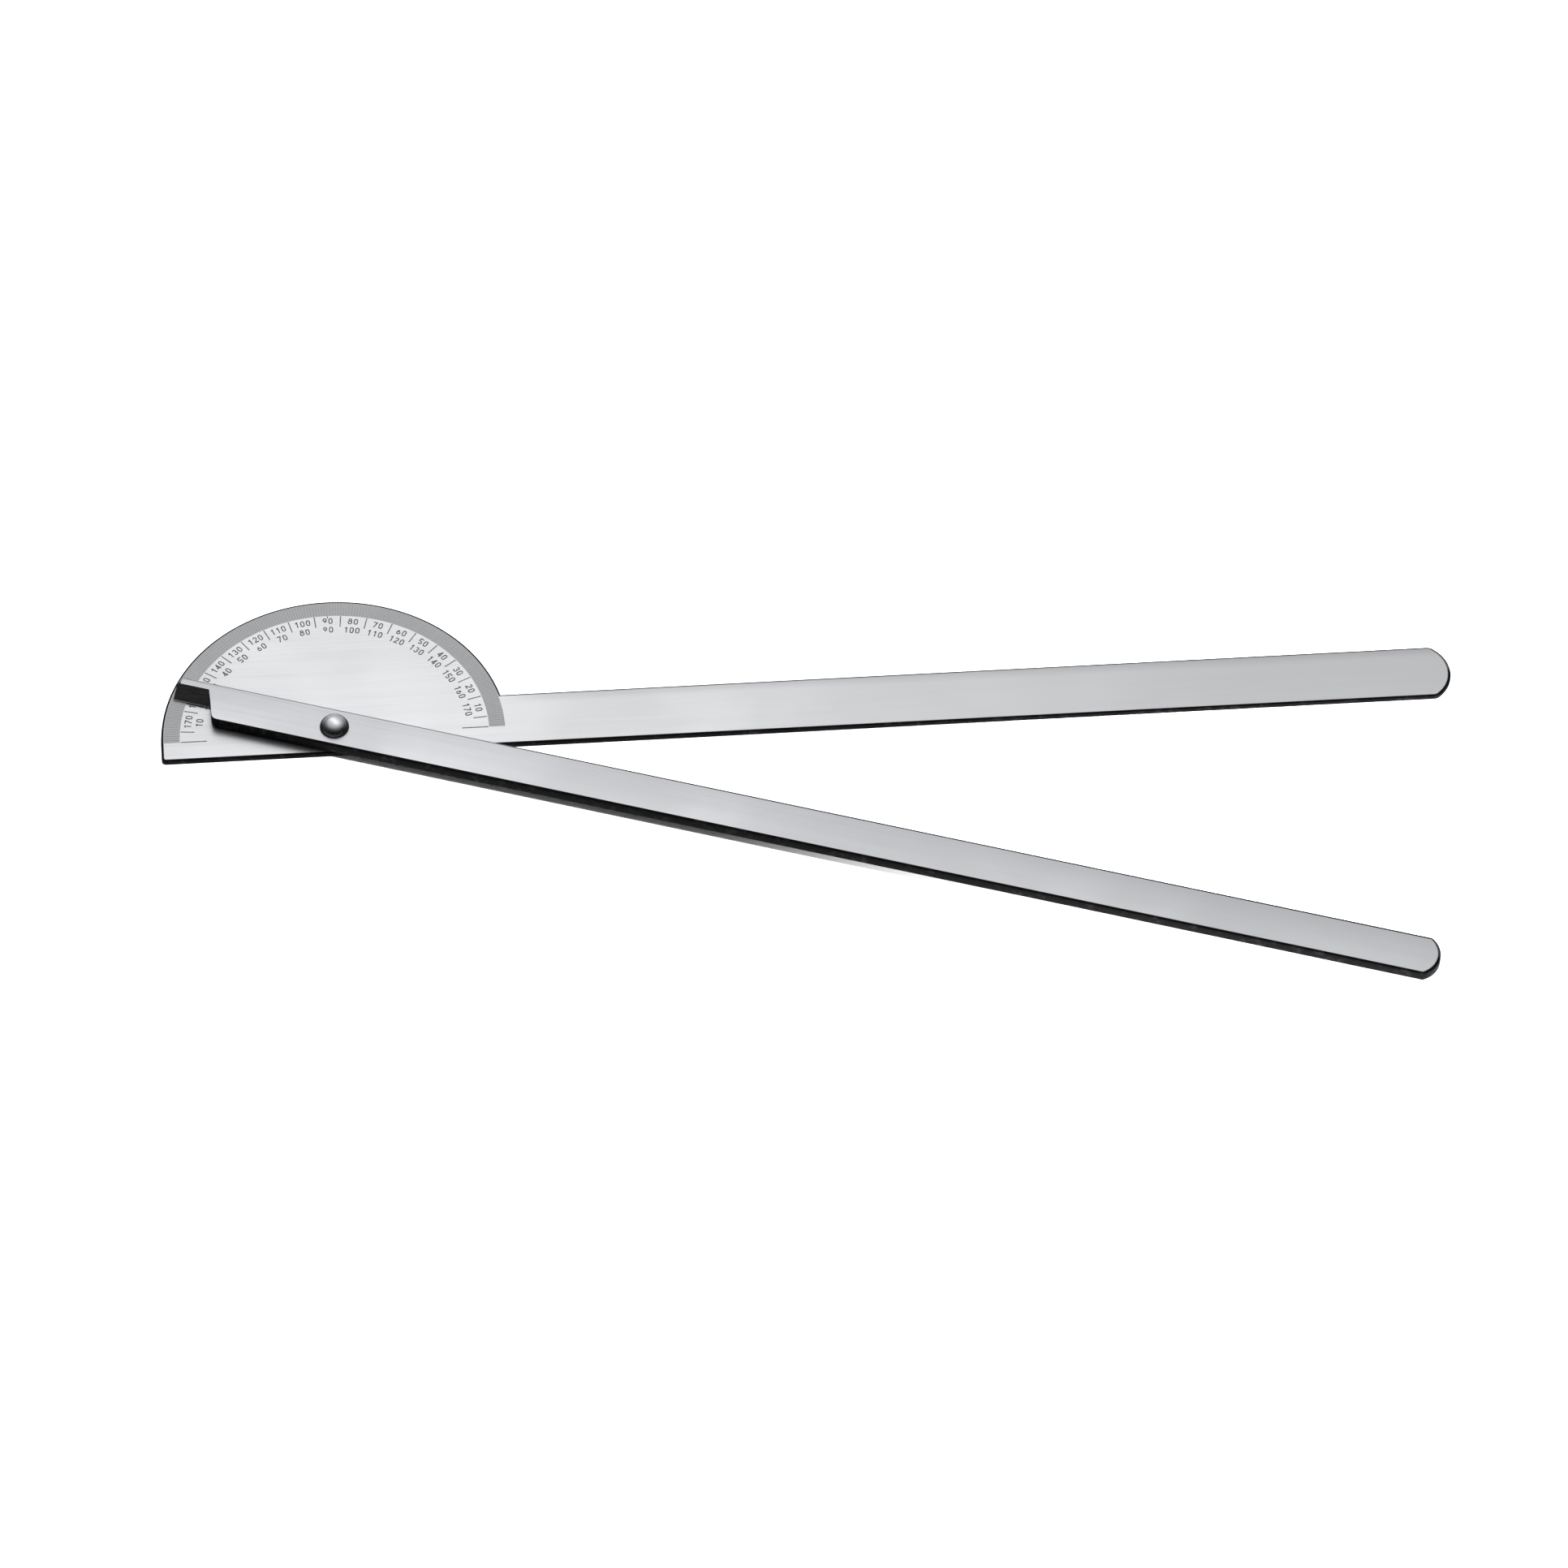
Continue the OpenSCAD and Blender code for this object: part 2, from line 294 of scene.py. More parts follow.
def buildHandling(scratch):
    # soft patches left by hands and cloths, and sparse hairline scratches
    tree, inside, outside = newGroup(
        "handling",
        [("Vector", "NodeSocketVector", None), ("Patch Size", "NodeSocketFloat", 30 * mm)],
        [("Patches", "NodeSocketFloat"), ("Scratches", "NodeSocketFloat")])
    patchScale = mathNode(tree, "DIVIDE", (-700, 200), 1.0, inside.outputs["Patch Size"])
    scaled = addNode(tree, "ShaderNodeVectorMath", (-500, 200), operation="SCALE")
    tree.links.new(inside.outputs["Vector"], scaled.inputs[0])
    tree.links.new(patchScale, scaled.inputs["Scale"])
    patches = noiseNode(tree, scaled.outputs[0], (-300, 200), 1.0, 2.5, 0.45, 0.6)
    tree.links.new(mapRange(tree, patches, (-100, 200), 0.32, 0.68), outside.inputs["Patches"])
    bent = addNode(tree, "ShaderNodeMapping", (-700, -200))
    bent.inputs["Rotation"].default_value = (0, 0, math.radians(scratch["turn"]))
    bent.inputs["Scale"].default_value = scratch["stretch"]
    tree.links.new(inside.outputs["Vector"], bent.inputs["Vector"])
    hairs = noiseNode(tree, bent.outputs[0], (-500, -200), 1.0, 1.0, 0.5, 0.35)
    centred = mathNode(tree, "SUBTRACT", (-400, -200), hairs, 0.5)
    ridge = mathNode(tree, "ABSOLUTE", (-300, -200), centred)
    hairline = mapRange(tree, ridge, (-150, -200), 0.0, scratch["hairWidth"], 1.0, 0.0)
    slow = noiseNode(tree, scaled.outputs[0], (-300, -450), 0.8, 1.0)
    presence = mapRange(tree, slow, (-100, -450), *scratch["presence"])
    scratches = mathNode(tree, "MULTIPLY", (100, -300), hairline, presence)
    tree.links.new(scratches, outside.inputs["Scratches"])
    return tree


def buildEdgeShade():
    # painted shade mask: 0 on a face that lies flat, 1 where the metal turns down over its edge, broken up
    # by noise in places
    tree, inside, outside = newGroup(
        "edgeShade",
        [("Vector", "NodeSocketVector", None), ("Flat", "NodeSocketFloat", 0.995),
         ("Turned", "NodeSocketFloat", 0.9), ("Wear", "NodeSocketFloat", 0.15)],
        [("Tone", "NodeSocketFloat")])
    facing = addNode(tree, "ShaderNodeNewGeometry", (-900, 300))
    parts = addNode(tree, "ShaderNodeSeparateXYZ", (-700, 300))
    tree.links.new(facing.outputs["Normal"], parts.inputs[0])
    flatness = mathNode(tree, "ABSOLUTE", (-500, 300), parts.outputs["Z"])
    turned = mapRange(tree, flatness, (-300, 300), inside.outputs["Flat"], inside.outputs["Turned"])
    breakupScale = 420.0
    paler = noiseNode(tree, inside.outputs["Vector"], (-500, -100), breakupScale, 3.0, 0.6)
    breakupMask = mapRange(tree, paler, (-300, -100), 0.5, 0.8)
    loss = mathNode(tree, "MULTIPLY", (-100, -100), breakupMask, inside.outputs["Wear"])
    kept = mathNode(tree, "SUBTRACT", (100, -100), 1.0, loss)
    tree.links.new(mathNode(tree, "MULTIPLY", (300, 100), turned, kept), outside.inputs["Tone"])
    return tree


brushGrain = buildBrushGrain()
handling = buildHandling(scratchShape)
edgeShade = buildEdgeShade()
print("shared effects built")


def placeGrain(tree, look, place, vector):
    grain = placeGroup(tree, brushGrain, place, Line_Length=look["lineLength"], Line_Width=look["lineWidth"],
                       Streak_Width=look["streakWidth"])
    tree.links.new(vector, grain.inputs["Vector"])
    return grain


def makeBrushedSteel(name, look):
    # satin steel brushed along its arm, with its edges and sides unpolished and painted near-black as
    # painted shade
    made, tree, shader, coords = newMaterial(name)
    alongArm = addNode(tree, "ShaderNodeMapping", (-1300, 0))
    alongArm.inputs["Rotation"].default_value = (0, 0, -look["turn"])
    tree.links.new(coords, alongArm.inputs["Vector"])
    vector = alongArm.outputs["Vector"]
    grain = placeGrain(tree, look, (-1050, 200), vector)
    hands = placeGroup(tree, handling, (-1050, -50), Patch_Size=look["patchSize"])
    edge = placeGroup(tree, edgeShade, (-1050, -300), Flat=look["flat"], Turned=look["turned"],
                      Wear=look["breakup"])
    for group in (hands, edge):
        tree.links.new(vector, group.inputs["Vector"])
    tone = edge.outputs["Tone"]
    streaked = mixColor(tree, (-750, 300), grain.outputs["Streaks"], look["dull"], look["bright"])
    patches = mathNode(tree, "MULTIPLY", (-700, 100), hands.outputs["Patches"], look["patchDepth"])
    handled = mixColor(tree, (-550, 300), patches, streaked, look["handled"])
    scratches = mathNode(tree, "MULTIPLY", (-700, 0), hands.outputs["Scratches"], look["scratchDepth"])
    scratched = mixColor(tree, (-400, 300), scratches, handled, look["scratch"])
    # painted shade: the far side of each arm is a little darker
    position = addNode(tree, "ShaderNodeSeparateXYZ", (-1050, 500))
    tree.links.new(vector, position.inputs[0])
    across = mapRange(tree, position.outputs["Y"], (-850, 600), *look["shadeAcross"])
    along = mapRange(tree, position.outputs["X"], (-850, 450), *look["shadeAlong"])
    farShade = mathNode(tree, "MULTIPLY", (-600, 500), across, along)
    shaded = mixColor(tree, (-300, 450), farShade, scratched, look["shade"])
    # and painted shade darkens it round the rivet
    distance = mathNode(tree, "ABSOLUTE", (-850, 1050), position.outputs["X"])
    halo = mapRange(tree, distance, (-650, 1050), *look["rivetShadowReach"])
    haloTone = mathNode(tree, "MULTIPLY", (-450, 1050), halo, look["rivetShadowDepth"])
    rivetShaded = mixColor(tree, (-250, 550), haloTone, shaded, look["shade"])
    # painted highlight on the far-facing edge; on the moving arm it is lightest near the pivot
    away = addNode(tree, "ShaderNodeVectorMath", (-1050, 900), operation="DOT_PRODUCT")
    tree.links.new(coords.node.outputs["Normal"], away.inputs[0])
    away.inputs[1].default_value = (-math.sin(look["turn"]), math.cos(look["turn"]), 0)
    farSide = mapRange(tree, away.outputs["Value"], (-850, 900), *look["farFacing"])
    nearPivot = mapRange(tree, position.outputs["X"], (-850, 750), *look["farLightAlong"])
    farEdgeLight = mixColor(tree, (-600, 800), nearPivot, look["farEdge"], look["pivotEdge"])
    # painted shade on the sides and turned-down edges, painted highlight on the far-facing edges
    edgeShadeAndLight = mixColor(tree, (-400, 700), farSide, look["edge"], farEdgeLight)
    tree.links.new(mixColor(tree, (-200, 300), tone, rivetShaded, edgeShadeAndLight), shader.inputs["Base Color"])
    tree.links.new(mathNode(tree, "SUBTRACT", (-200, 100), 1.0, tone), shader.inputs["Metallic"])
    fine = mixValue(tree, (-750, -150), grain.outputs["Lines"], *look["roughness"])
    patched = mathNode(tree, "MULTIPLY_ADD", (-550, -150), hands.outputs["Patches"],
                       look["patchRoughness"], fine)
    roughness = mixValue(tree, (-200, -100), tone, patched, look["edgeRoughness"])
    tree.links.new(roughness, shader.inputs["Roughness"])
    streakShare = 0.5  # the streaks are half as deep as the fine lines
    lined = mathNode(tree, "MULTIPLY_ADD", (-550, -450), grain.outputs["Streaks"], streakShare,
                     grain.outputs["Lines"])
    cut = mathNode(tree, "SUBTRACT", (-400, -450), lined, hands.outputs["Scratches"])
    addBump(tree, shader, cut, look["relief"])
    shader.inputs["Specular IOR Level"].default_value = look["edgeGloss"]
    return made


steelLook = {
    "turn": 0.0,
    "bright": (0.525, 0.53, 0.538),
    "dull": (0.51, 0.515, 0.523),
    "handled": (0.40, 0.405, 0.415),
    "scratch": (0.40, 0.40, 0.41),
    # edge paints shade on the sides and turned-down edges; farEdge and pivotEdge paint a highlight on the
    # far-facing edges
    "edge": (0.005, 0.0045, 0.0048),
    "farEdge": (0.13, 0.13, 0.133),
    "pivotEdge": (0.015, 0.015, 0.016),
    "farFacing": (0.0, 0.02),
    "farLightAlong": (60 * mm, 35 * mm),
    "shade": (0.395, 0.40, 0.412),
    "shadeAcross": (7 * mm, 11.5 * mm),
    "shadeAlong": (46 * mm, 60 * mm),
    "roughness": (0.30, 0.38),
    "patchRoughness": 0.06,
    "edgeRoughness": 0.5,
    "edgeGloss": 0.02,
    "lineLength": 60 * mm,
    "lineWidth": 0.16 * mm,
    "streakWidth": 3.2 * mm,
    "patchSize": 45 * mm,
    "patchDepth": 0.14,
    "rivetShadowDepth": 0.0,
    "rivetShadowReach": (26 * mm, 8 * mm),
    "scratchDepth": 0.2,
    "flat": 0.9996,
    "turned": 0.993,
    "breakup": 0.04,
    "relief": 0.0006 * mm,
}
bladeSteel = makeBrushedSteel("bladeSteel", steelLook)
armSteel = makeBrushedSteel("armSteel", {
    **steelLook,
    "turn": armTurn,
    "bright": (0.485, 0.49, 0.50),
    "dull": (0.465, 0.47, 0.481),
    "farEdge": (0.06, 0.06, 0.062),
    "pivotEdge": (0.34, 0.34, 0.35),
    "shadeAcross": (-5 * mm, 7 * mm),
    "shadeAlong": (-80 * mm, -60 * mm),
    "patchDepth": 0.35,
    "rivetShadowDepth": 0.6,
})


def makeGroundSteel(name, look):
    # freshly ground narrow faces: the step's wall and the reading edge, in lighter steel that is partly a
    # painted highlight
    made, tree, shader, coords = newMaterial(name)
    grain = placeGrain(tree, look, (-900, 100), coords)
    tree.links.new(mixColor(tree, (-500, 200), grain.outputs["Streaks"], look["dull"], look["bright"]),
                   shader.inputs["Base Color"])
    roughness = mixValue(tree, (-500, 0), grain.outputs["Lines"], *look["roughness"])
    tree.links.new(roughness, shader.inputs["Roughness"])
    addBump(tree, shader, grain.outputs["Lines"], look["relief"])
    shader.inputs["Metallic"].default_value = 1.0
    return made


groundSteel = makeGroundSteel("groundSteel", {
    "bright": (0.80, 0.80, 0.81),
    "dull": (0.64, 0.64, 0.65),
    "roughness": (0.3, 0.45),
    "lineLength": 1.5 * mm,
    "lineWidth": 0.05 * mm,
    "streakWidth": 0.4 * mm,
    "relief": 0.001 * mm,
})


def makeBevelBlack(name, look):
    # the pointer's sloped face: painted near-black to stand for the dark it reflects, streaked paler a
    # little along its length
    made, tree, shader, coords = newMaterial(name)
    alongArm = addNode(tree, "ShaderNodeMapping", (-1200, 0))
    alongArm.inputs["Rotation"].default_value = (0, 0, -armTurn)
    tree.links.new(coords, alongArm.inputs["Vector"])
    grain = placeGrain(tree, look, (-900, 100), alongArm.outputs["Vector"])
    tree.links.new(mixColor(tree, (-500, 200), grain.outputs["Streaks"], look["black"], look["paler"]),
                   shader.inputs["Base Color"])
    roughness = mixValue(tree, (-500, 0), grain.outputs["Lines"], *look["roughness"])
    tree.links.new(roughness, shader.inputs["Roughness"])
    addBump(tree, shader, grain.outputs["Lines"], look["relief"])
    shader.inputs["Specular IOR Level"].default_value = look["gloss"]
    return made


bevelBlack = makeBevelBlack("bevelBlack", {
    "black": (0.02, 0.0185, 0.019),
    "paler": (0.032, 0.030, 0.030),
    "gloss": 0.15,
    "roughness": (0.4, 0.55),
    "lineLength": 4 * mm,
    "lineWidth": 0.08 * mm,
    "streakWidth": 0.7 * mm,
    "relief": 0.001 * mm,
})


def makeRivetSteel(name, look):
    # polished round head with painted shade darkening it towards its rim, finely pitted and a little
    # scratched
    made, tree, shader, coords = newMaterial(name)
    hands = placeGroup(tree, handling, (-1050, 0), Patch_Size=look["patchSize"])
    edge = placeGroup(tree, edgeShade, (-1050, -250), Flat=look["flat"], Turned=look["turned"], Wear=0.0)
    for group in (hands, edge):
        tree.links.new(coords, group.inputs["Vector"])
    worn = mixColor(tree, (-600, 200), hands.outputs["Patches"], look["bright"], look["dull"])
    # painted shade: the rim colour stands for the dark the dome reflects near its edge
    rimmed = mixColor(tree, (-300, 200), edge.outputs["Tone"], worn, look["rim"])
    tree.links.new(rimmed, shader.inputs["Base Color"])
    roughness = mixValue(tree, (-300, 0), hands.outputs["Patches"], *look["roughness"])
    tree.links.new(roughness, shader.inputs["Roughness"])
    pits = noiseNode(tree, coords, (-600, -400), look["pitScale"], 3.0, 0.6)
    cut = mathNode(tree, "SUBTRACT", (-400, -400), pits, hands.outputs["Scratches"])
    addBump(tree, shader, cut, look["relief"])
    shader.inputs["Metallic"].default_value = look["metallic"]
    return made


rivetSteel = makeRivetSteel("rivetSteel", {
    "bright": (0.66, 0.68, 0.705),
    "dull": (0.60, 0.615, 0.635),
    "rim": (0.035, 0.035, 0.036),
    "metallic": 0.86,
    "roughness": (0.27, 0.33),
    "patchSize": 2.2 * mm,
    "flat": 0.95,
    "turned": 0.56,
    "pitScale": 900.0,
    "relief": 0.003 * mm,
})


def makeSpringSteel(name, look):
    # rolled spring strip, blued a little by its heat treatment
    made, tree, shader, coords = newMaterial(name)
    hands = placeGroup(tree, handling, (-900, 0), Patch_Size=look["patchSize"])
    tree.links.new(coords, hands.inputs["Vector"])
    tree.links.new(mixColor(tree, (-500, 200), hands.outputs["Patches"], look["bare"], look["blued"]),
                   shader.inputs["Base Color"])
    roughness = mixValue(tree, (-500, 0), hands.outputs["Patches"], *look["roughness"])
    tree.links.new(roughness, shader.inputs["Roughness"])
    tooth = noiseNode(tree, coords, (-500, -300), look["toothScale"])
    addBump(tree, shader, tooth, look["relief"])
    shader.inputs["Metallic"].default_value = 1.0
    return made


springSteel = makeSpringSteel("springSteel", {
    "bare": (0.42, 0.42, 0.43),
    "blued": (0.28, 0.29, 0.33),
    "roughness": (0.3, 0.42),
    "patchSize": 3 * mm,
    "toothScale": 1500.0,
    "relief": 0.002 * mm,
})


def makeEtchedBand(name, look):
    # acid-etched matt ring: fine tooth, faint turned lines round the pivot, a little uneven in tone
    made, tree, shader, coords = newMaterial(name)
    flat = addNode(tree, "ShaderNodeVectorMath", (-1300, 200), operation="MULTIPLY")
    flat.inputs[1].default_value = (1, 1, 0)
    tree.links.new(coords, flat.inputs[0])
    radius = addNode(tree, "ShaderNodeVectorMath", (-1100, 200), operation="LENGTH")
    tree.links.new(flat.outputs[0], radius.inputs[0])
    rings = addNode(tree, "ShaderNodeTexNoise", (-900, 200), noise_dimensions="1D")
    tree.links.new(radius.outputs["Value"], rings.inputs["W"])
    rings.inputs["Scale"].default_value = 1 / look["ringWidth"]
    rings.inputs["Detail"].default_value = 2.0
    patches = noiseNode(tree, coords, (-900, -50), 1 / look["patchSize"], 3.0, 0.5, 0.3)
    tooth = noiseNode(tree, coords, (-900, -300), 1 / look["toothSize"], 2.0, 0.6)
    ringMask = mapRange(tree, rings.outputs["Fac"], (-700, 200), 0.3, 0.7)
    patchMask = mapRange(tree, patches, (-700, -50), 0.3, 0.7)
    toned = mixColor(tree, (-450, 200), patchMask, look["light"], look["dark"])
    ringShare = mathNode(tree, "MULTIPLY", (-450, 0), ringMask, look["ringDepth"])
    ringed = mixColor(tree, (-250, 200), ringShare, toned, look["ringTone"])
    tree.links.new(ringed, shader.inputs["Base Color"])
    roughness = mapRange(tree, tooth, (-250, -100), 0.3, 0.7, *look["roughness"])
    tree.links.new(roughness, shader.inputs["Roughness"])
    addBump(tree, shader, tooth, look["relief"])
    shader.inputs["Specular IOR Level"].default_value = look["gloss"]
    return made


etchedBand = makeEtchedBand("etchedBand", {
    "light": (0.565, 0.57, 0.578),
    "dark": (0.525, 0.53, 0.538),
    "ringTone": (0.48, 0.485, 0.492),
    "gloss": 0.3,
    "ringWidth": 0.5 * mm,
    "ringDepth": 0.35,
    "patchSize": 12 * mm,
    "toothSize": 0.08 * mm,
    "roughness": (0.55, 0.75),
    "relief": 0.003 * mm,
})


def makeEnamel(name, look):
    # enamel fill in an etched mark, worn thin in places
    made, tree, shader, coords = newMaterial(name)
    thin = noiseNode(tree, coords, (-900, 100), 1 / look["wornSize"], 3.0, 0.55, 0.4)
    thinMask = mapRange(tree, thin, (-650, 100), 0.42, 0.72)
    color = mixColor(tree, (-350, 200), thinMask, look["full"], look["worn"])
    tree.links.new(color, shader.inputs["Base Color"])
    speckle = noiseNode(tree, coords, (-900, -200), 1 / look["speckleSize"], 2.0, 0.6)
    roughness = mapRange(tree, speckle, (-350, -100), 0.3, 0.7, *look["roughness"])
    tree.links.new(roughness, shader.inputs["Roughness"])
    addBump(tree, shader, speckle, look["relief"])
    shader.inputs["Specular IOR Level"].default_value = look["gloss"]
    return made


enamelLook = {
    "full": (0.09, 0.09, 0.094),
    "worn": (0.24, 0.24, 0.246),
    "gloss": 0.3,
    "wornSize": 1.6 * mm,
    "speckleSize": 0.06 * mm,
    "roughness": (0.4, 0.6),
    "relief": 0.002 * mm,
}
numberEnamel = makeEnamel("numberEnamel", enamelLook)
lineEnamel = makeEnamel("lineEnamel", {
    **enamelLook,
    "full": (0.17, 0.17, 0.176),
    "worn": (0.33, 0.33, 0.34),
})
degreeEnamel = makeEnamel("degreeEnamel", {
    **enamelLook,
    "full": (0.42, 0.425, 0.43),
    "worn": (0.49, 0.495, 0.50),
})
print("finishes made:", len(bpy.data.materials))


bladePiece = {
    "armWidth": 17.5 * mm,
    "headCorner": 1.2 * mm,
    "tipCorner": 2.5 * mm,
    "crownRatio": 0.59,
    "edgeRound": 0.7 * mm,
    "tipRound": 1.0 * mm,
    "underRound": 0.2 * mm,
    "edgeFall": 0.4,
    "hole": 1.8 * mm,
    "sinkMouth": 2.62 * mm,
}


def bladeOutline(spec):
    # anticlockwise from the head's lower left corner
    armTop = spec["armWidth"] - skirt
    armMiddle = (armTop - skirt) / 2
    corner = spec["headCorner"]
    points = arcPoints((-headRadius + corner, -skirt + corner), corner, 180, 270, 7.5)
    tip = crownedTip(spec["armWidth"], spec["tipCorner"], spec["crownRatio"])
    points += [(x, y + armMiddle) for x, y in tip]
    meeting = math.degrees(math.asin(armTop / headRadius))
    points += arcPoints((0, 0), headRadius, meeting, 180, 1.5)
    return points


def buildBlade(spec):
    bm = bmesh.new()
    weights = bm.edges.layers.float.new("bevel_weight_edge")
    outline = bladeOutline(spec)
    tipStart = crownedTip(spec["armWidth"], spec["tipCorner"], spec["crownRatio"])[0][0]
    low = [bm.verts.new((x, y, bladeLow.z)) for x, y in outline]
    high = [bm.verts.new((x, y, bladeHigh.z)) for x, y in outline]
    bm.faces.new(high)
    bm.faces.new(low[::-1])
    for i in range(len(outline)):
        after = (i + 1) % len(outline)
        bm.faces.new([low[i], low[after], high[after], high[i]])
        share = tipShare(outline[i], outline[after], spec, tipStart)
        bm.edges.get((high[i], high[after]))[weights] = share
        bm.edges.get((low[i], low[after]))[weights] = spec["underRound"] / spec["tipRound"]
    blade = meshObject("scaleBlade", bm)
    roundEdges(blade, spec["tipRound"])
    settleEdges(blade, bladeHigh.z, spec["tipRound"], spec["edgeFall"])
    depth = spec["sinkMouth"] - spec["hole"]
    over = 1 * mm
    drill = lathe("drill", [(0, -over), (spec["sinkMouth"] + over, -over), (spec["hole"], depth),
                            (spec["hole"], bladeHigh.z + over), (0, bladeHigh.z + over)], drillSteps)
    cutAway(blade, drill)
    smoothFaces(blade)
    blade.data.materials.clear()
    blade.data.materials.append(bladeSteel)
    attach(blade, "blade")
    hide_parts("scale_blade")
    return blade


scaleBlade = buildBlade(bladePiece)
print("scale blade:", len(scaleBlade.data.polygons), "faces")


armPiece = {
    "stepReach": 35.5 * mm,
    "stepSlant": 20,
    "stepCorner": 2 * mm,
    "pointerReach": 46 * mm,
    "bevelWidth": 3.8 * mm,
    "edgeLand": 0.25 * mm,
    "tipCorner": 1.1 * mm,
    "crownRatio": 0.59,
    "edgeRound": 0.75 * mm,
    "tipRound": 1.0 * mm,
    "edgeFall": 0.4,
    "stepRound": 0.12 * mm,
    "underRound": 0.25 * mm,
    "hole": 2.45 * mm,
}


def buildArm(spec):
    # made along X, then turned to its place
    bm = bmesh.new()
    weights = bm.edges.layers.float.new("bevel_weight_edge")
    slant = math.radians(spec["stepSlant"])
    under, top = armLow.z, armHigh.z
    land = under + spec["edgeLand"]
    bevelY = spec["bevelWidth"]
    footX = -spec["stepReach"] + skirt * math.tan(slant)
    cornerX = footX + spec["stepCorner"] * math.tan((math.pi / 2 - slant) / 2)
    heelMiddle = (cornerX, -skirt + spec["stepCorner"])
    heel = arcPoints(heelMiddle, spec["stepCorner"], 180 + spec["stepSlant"], 270, 7)
    rest = crownedTip(2 * skirt, spec["tipCorner"], spec["crownRatio"])
    pointerTop = 180 - math.degrees(math.asin(skirt / spec["pointerReach"]))
    pointerBevel = 180 - math.degrees(math.asin(bevelY / spec["pointerReach"]))
    upperArc = arcPoints((0, 0), spec["pointerReach"], pointerTop, pointerBevel, 1.0)
    lowerArc = arcPoints((0, 0), spec["pointerReach"], pointerBevel, 180, 1.0)

    def slopeZ(y):
        return land + (top - land) * min(y / bevelY, 1)

    outer = heel + rest + upperArc  # full height all round
    lowVerts = [bm.verts.new((x, y, under)) for x, y in outer]
    highVerts = [bm.verts.new((x, y, top)) for x, y in outer]
    lowArc = [lowVerts[-1]] + [bm.verts.new((x, y, under)) for x, y in lowerArc[1:]]
    highArc = [highVerts[-1]] + [bm.verts.new((x, y, slopeZ(y))) for x, y in lowerArc[1:]]
    stepUnder = bm.verts.new((-spec["stepReach"], 0, under))
    stepLand = bm.verts.new((-spec["stepReach"], 0, land))
    stepTop = bm.verts.new((-spec["stepReach"], 0, top))
    stepInner = bm.verts.new((-spec["stepReach"] - bevelY * math.tan(slant), bevelY, top))

    bm.faces.new(highVerts + [stepInner, stepTop])
    bm.faces.new((lowVerts + lowArc[1:] + [stepUnder])[::-1])
    for i in range(len(outer) - 1):
        bm.faces.new([lowVerts[i], lowVerts[i + 1], highVerts[i + 1], highVerts[i]])
        share = tipShare(outer[i], outer[i + 1], spec, rest[0][0])
        bm.edges.get((highVerts[i], highVerts[i + 1]))[weights] = share
        bm.edges.get((lowVerts[i], lowVerts[i + 1]))[weights] = spec["underRound"] / spec["tipRound"]
    for i in range(len(lowArc) - 1):
        bm.faces.new([lowArc[i], lowArc[i + 1], highArc[i + 1], highArc[i]])
    slope = bm.faces.new([highArc[-1], stepLand, stepInner] + highArc[:-1])
    reading = bm.faces.new([lowArc[-1], stepUnder, stepLand, highArc[-1]])
    wall = bm.faces.new([stepLand, stepTop, stepInner])
    bm.faces.new([stepUnder, lowVerts[0], highVerts[0], stepTop, stepLand])
    reading.material_index = 1  # groundSteel
    wall.material_index = 1
    slope.material_index = 2  # bevelBlack

    # the rounding fades in round the heel's corner, from the crisp step to the full edge
    stepShare = spec["stepRound"] / spec["tipRound"]
    edgeShare = spec["edgeRound"] / spec["tipRound"]
    for first, second in ((stepInner, stepTop), (stepTop, highVerts[0])):
        bm.edges.get((first, second))[weights] = stepShare
    for i in range(len(heel) - 1):
        grown = (i + 1) / (len(heel) - 1)
        share = stepShare + (edgeShare - stepShare) * grown
        bm.edges.get((highVerts[i], highVerts[i + 1]))[weights] = share
    bmesh.ops.recalc_face_normals(bm, faces=bm.faces)
    arm = meshObject("movingArm", bm)
    for material in (armSteel, groundSteel, bevelBlack):
        arm.data.materials.append(material)
    roundEdges(arm, spec["tipRound"])
    settleEdges(arm, top, spec["tipRound"], spec["edgeFall"], -spec["stepReach"])
    arm.data.transform(Matrix.Rotation(armTurn, 4, "Z"))
    over = 1 * mm
    drill = lathe("drill", [(0, under - over), (spec["hole"], under - over),
                            (spec["hole"], top + over), (0, top + over)], drillSteps)
    cutAway(arm, drill)
    smoothFaces(arm)
    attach(arm, "arm")
    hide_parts("moving_arm")
    return arm


movingArm = buildArm(armPiece)
print("moving arm:", len(movingArm.data.polygons), "faces")


rivetPiece = {
    "shoulder": 2.4 * mm,
    "tenon": 1.8 * mm,
    "tail": 2.6 * mm,
    "headClearance": 0.05 * mm,
    "rimRound": 0.25 * mm,
    "tailBreak": 0.04 * mm,
    "peenMouth": 0.72,  # the peened hollow's mouth and floor, as shares of the tail
    "peenFloor": 0.35,
    "peenDepth": 0.06 * mm,
    "peenCentre": 1.2,  # its depth in the middle, as a share of peenDepth
    "steps": 128,
}


